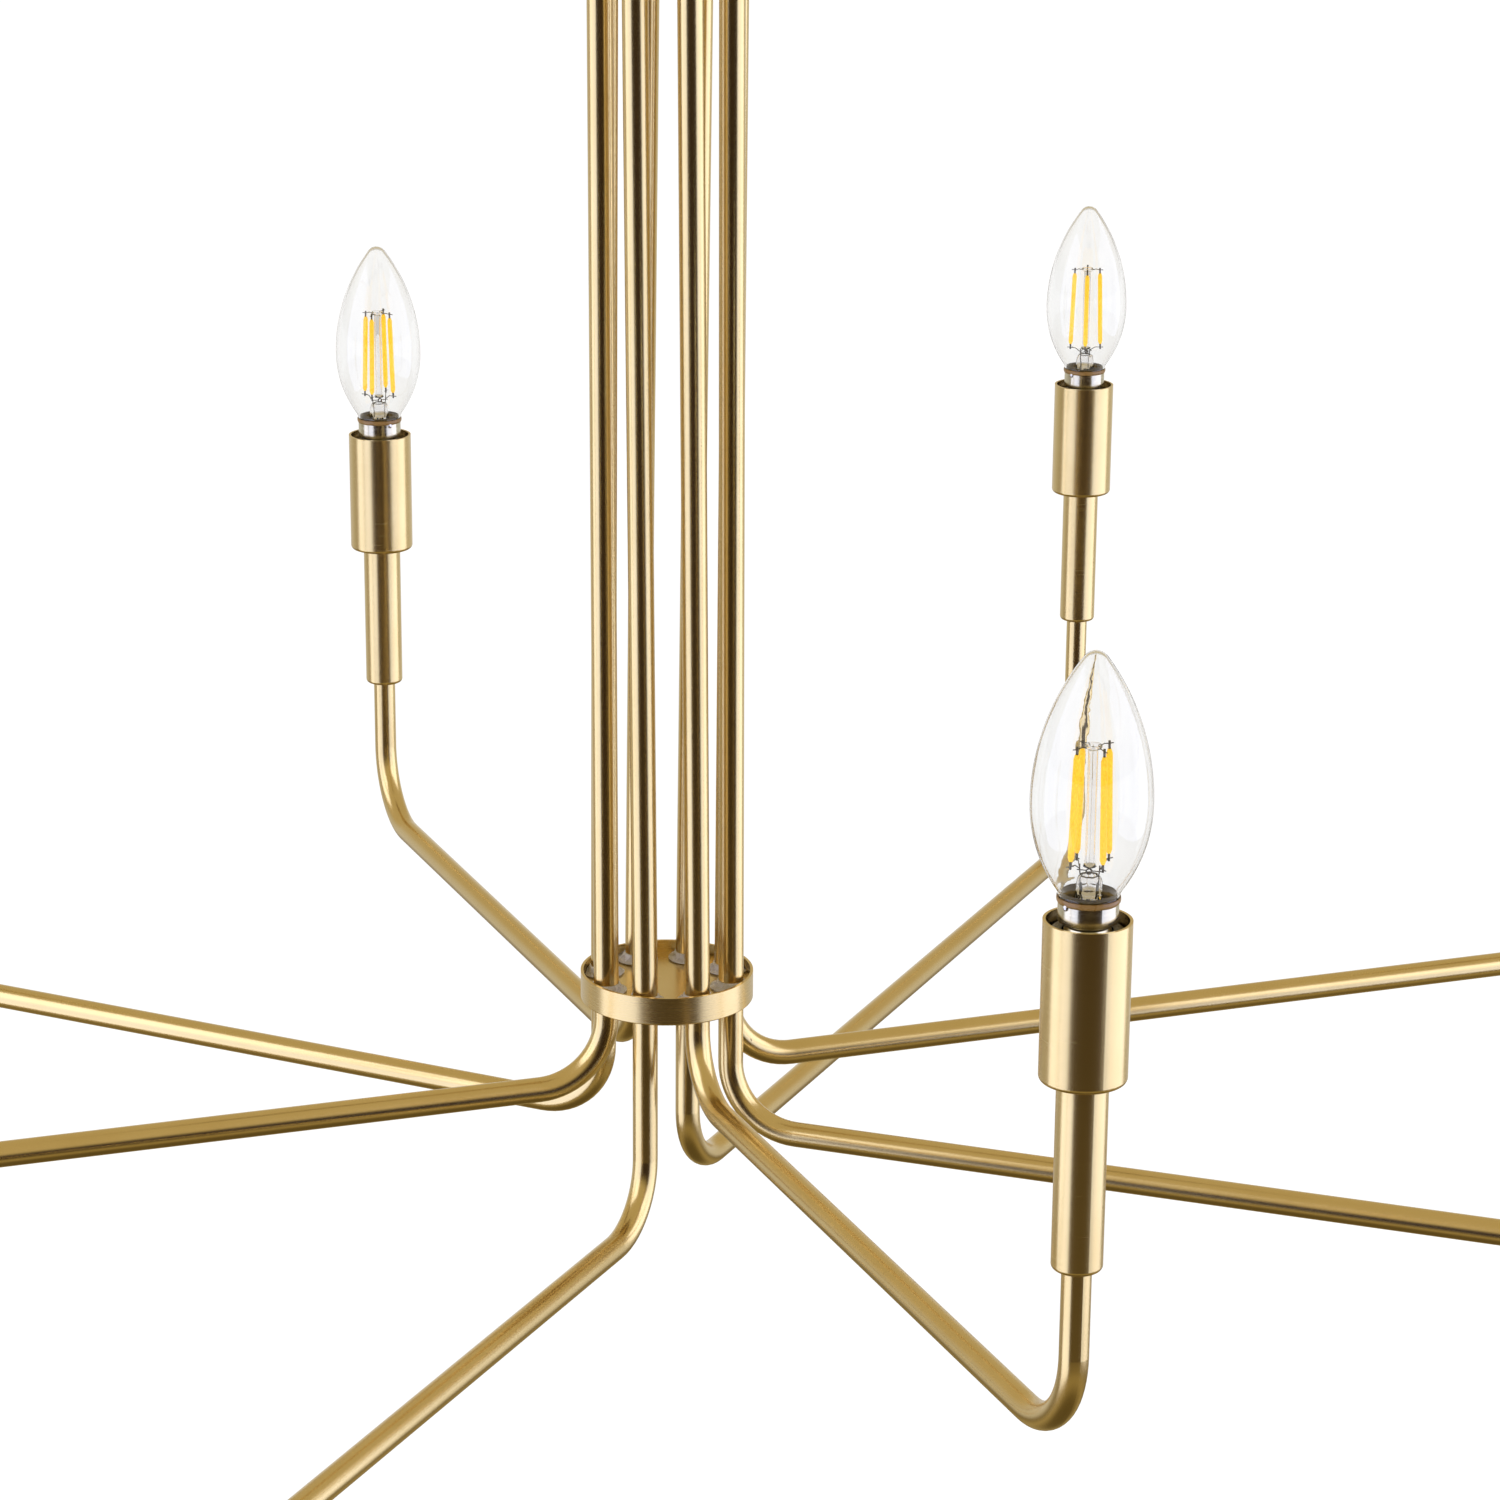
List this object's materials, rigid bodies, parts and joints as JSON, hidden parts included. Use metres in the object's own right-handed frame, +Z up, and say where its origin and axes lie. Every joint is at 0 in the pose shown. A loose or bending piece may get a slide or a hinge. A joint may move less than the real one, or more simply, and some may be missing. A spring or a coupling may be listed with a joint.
{
  "type": "chandelier",
  "caption": "Ceiling chandelier: a bundle of slim brass rods meets in a shallow dish hub, from which bent tube arms of unequal length reach out and turn up to cup-shaped candle lampholders.",
  "frame": {"origin": "centre of the crossbar's upper face, on the ceiling", "axes": "+Z up into the ceiling, +X along the crossbar, -Y the side that faces the viewer; the lamp hangs along -Z"},
  "size_m": [0.7616, 0.855, 0.7635],
  "materials": {
    "satin_brass": "satin brushed, lacquered",
    "hub_brass": "satin, brushed rim",
    "clear_glass": "clear",
    "nickel_cap": "bright nickel",
    "black_phenolic": "moulded, matt",
    "clear_plastic": "translucent, crumpled",
    "zinc_steel": "zinc plated",
    "green_screw": "green dyed zinc",
    "lead_insulation": "smooth"
  },
  "bodies": {
    "frame": {"canopy": "satin_brass", "support_plate": "zinc_steel", "crossbar": "zinc_steel", "ground_screw": "green_screw", "canopy_studs": "zinc_steel", "stud_nuts": "zinc_steel", "ball_nuts": "satin_brass", "down_rods": "satin_brass", "rod_fasteners": "zinc_steel", "rod_leads": "lead_insulation", "hub_dish": "hub_brass", "hub_washers": "clear_plastic"},
    "arm_a": {"arm_tube_a": "satin_brass", "candle_sleeve_a": "satin_brass", "socket_cup_a": "satin_brass", "lampholder_a": "black_phenolic"},
    "bulb_a": {"bulb_cap_a": "nickel_cap", "bulb_glass_a": "clear_glass"},
    "arm_b": {"arm_tube_b": "satin_brass", "candle_sleeve_b": "satin_brass", "socket_cup_b": "satin_brass", "lampholder_b": "black_phenolic"},
    "bulb_b": {"bulb_cap_b": "nickel_cap", "bulb_glass_b": "clear_glass"},
    "arm_c": {"arm_tube_c": "satin_brass", "candle_sleeve_c": "satin_brass", "socket_cup_c": "satin_brass", "lampholder_c": "black_phenolic"},
    "bulb_c": {"bulb_cap_c": "nickel_cap", "bulb_glass_c": "clear_glass"},
    "arm_d": {"arm_tube_d": "satin_brass", "candle_sleeve_d": "satin_brass", "socket_cup_d": "satin_brass", "lampholder_d": "black_phenolic"},
    "bulb_d": {"bulb_cap_d": "nickel_cap", "bulb_glass_d": "clear_glass"},
    "arm_e": {"arm_tube_e": "satin_brass", "candle_sleeve_e": "satin_brass", "socket_cup_e": "satin_brass", "lampholder_e": "black_phenolic"},
    "bulb_e": {"bulb_cap_e": "nickel_cap", "bulb_glass_e": "clear_glass"},
    "arm_f": {"arm_tube_f": "satin_brass", "candle_sleeve_f": "satin_brass", "socket_cup_f": "satin_brass", "lampholder_f": "black_phenolic"},
    "bulb_f": {"bulb_cap_f": "nickel_cap", "bulb_glass_f": "clear_glass"},
    "arm_g": {"arm_tube_g": "satin_brass", "candle_sleeve_g": "satin_brass", "socket_cup_g": "satin_brass", "lampholder_g": "black_phenolic"},
    "bulb_g": {"bulb_cap_g": "nickel_cap", "bulb_glass_g": "clear_glass"},
    "arm_h": {"arm_tube_h": "satin_brass", "candle_sleeve_h": "satin_brass", "socket_cup_h": "satin_brass", "lampholder_h": "black_phenolic"},
    "bulb_h": {"bulb_cap_h": "nickel_cap", "bulb_glass_h": "clear_glass"}
  },
  "joints": [
    {"name": "arm_a_swing", "type": "hinge", "parent": "frame", "child": "arm_a", "pos_m": [-0.00675, -0.02324, -0.6764], "axis": [0, 0, 1], "range_deg": [-15, 15]},
    {"name": "bulb_a_lift_out", "type": "slide", "parent": "arm_a", "child": "bulb_a", "axis": [0, 0, 1], "range_m": [0, 0.026]},
    {"name": "arm_b_swing", "type": "hinge", "parent": "frame", "child": "arm_b", "pos_m": [0.01166, -0.02121, -0.6764], "axis": [0, 0, 1], "range_deg": [-15, 15]},
    {"name": "bulb_b_lift_out", "type": "slide", "parent": "arm_b", "child": "bulb_b", "axis": [0, 0, 1], "range_m": [0, 0.026]},
    {"name": "arm_c_swing", "type": "hinge", "parent": "frame", "child": "arm_c", "pos_m": [0.02324, -0.00675, -0.6764], "axis": [0, 0, 1], "range_deg": [-15, 15]},
    {"name": "bulb_c_lift_out", "type": "slide", "parent": "arm_c", "child": "bulb_c", "axis": [0, 0, 1], "range_m": [0, 0.026]},
    {"name": "arm_d_swing", "type": "hinge", "parent": "frame", "child": "arm_d", "pos_m": [0.02121, 0.01166, -0.6764], "axis": [0, 0, 1], "range_deg": [-15, 15]},
    {"name": "bulb_d_lift_out", "type": "slide", "parent": "arm_d", "child": "bulb_d", "axis": [0, 0, 1], "range_m": [0, 0.026]},
    {"name": "arm_e_swing", "type": "hinge", "parent": "frame", "child": "arm_e", "pos_m": [0.00675, 0.02324, -0.6764], "axis": [0, 0, 1], "range_deg": [-15, 15]},
    {"name": "bulb_e_lift_out", "type": "slide", "parent": "arm_e", "child": "bulb_e", "axis": [0, 0, 1], "range_m": [0, 0.026]},
    {"name": "arm_f_swing", "type": "hinge", "parent": "frame", "child": "arm_f", "pos_m": [-0.01166, 0.02121, -0.6764], "axis": [0, 0, 1], "range_deg": [-15, 15]},
    {"name": "bulb_f_lift_out", "type": "slide", "parent": "arm_f", "child": "bulb_f", "axis": [0, 0, 1], "range_m": [0, 0.026]},
    {"name": "arm_g_swing", "type": "hinge", "parent": "frame", "child": "arm_g", "pos_m": [-0.02324, 0.00675, -0.6764], "axis": [0, 0, 1], "range_deg": [-15, 15]},
    {"name": "bulb_g_lift_out", "type": "slide", "parent": "arm_g", "child": "bulb_g", "axis": [0, 0, 1], "range_m": [0, 0.026]},
    {"name": "arm_h_swing", "type": "hinge", "parent": "frame", "child": "arm_h", "pos_m": [-0.02121, -0.01166, -0.6764], "axis": [0, 0, 1], "range_deg": [-15, 15]},
    {"name": "bulb_h_lift_out", "type": "slide", "parent": "arm_h", "child": "bulb_h", "axis": [0, 0, 1], "range_m": [0, 0.026]}
  ]
}
